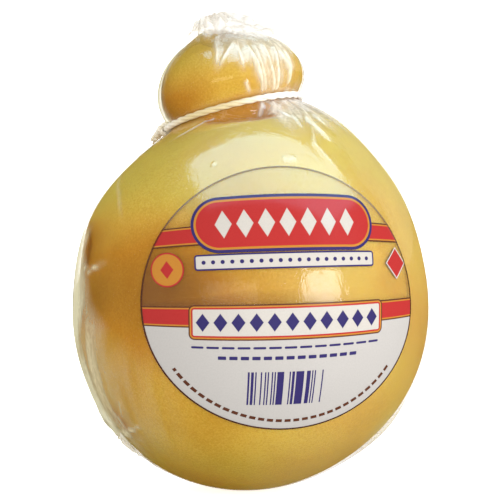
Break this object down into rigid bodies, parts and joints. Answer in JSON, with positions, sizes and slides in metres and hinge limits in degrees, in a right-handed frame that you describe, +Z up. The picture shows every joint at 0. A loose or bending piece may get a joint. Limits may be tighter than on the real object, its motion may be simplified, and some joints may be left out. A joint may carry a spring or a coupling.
{
  "type": "caciocavallo cheese",
  "caption": "Pear-shaped stretched-curd cheese with a small head, sealed in a clear film bag that is gathered on the crown, tied with a cord at the neck and labelled in front.",
  "frame": {"origin": "middle of the small flat underneath that the cheese stands on", "axes": "+Z up, -Y towards the front where the label is, +X to the right as seen from the front"},
  "size_m": [0.1356, 0.1346, 0.182],
  "materials": {
    "cheese": "smooth pale yellow rind, waxy, seen through tight clear film",
    "film": "thin clear glossy film, whitish where it is gathered",
    "cord": "twisted white tie cord",
    "label": "glossy printed film label, part clear and part off-white, with plain stripes and shapes"
  },
  "bodies": {
    "root": {"bagged_cheese": "cheese", "film_tuft": "film", "neck_cord": "cord", "label": "label"}
  },
  "joints": []
}
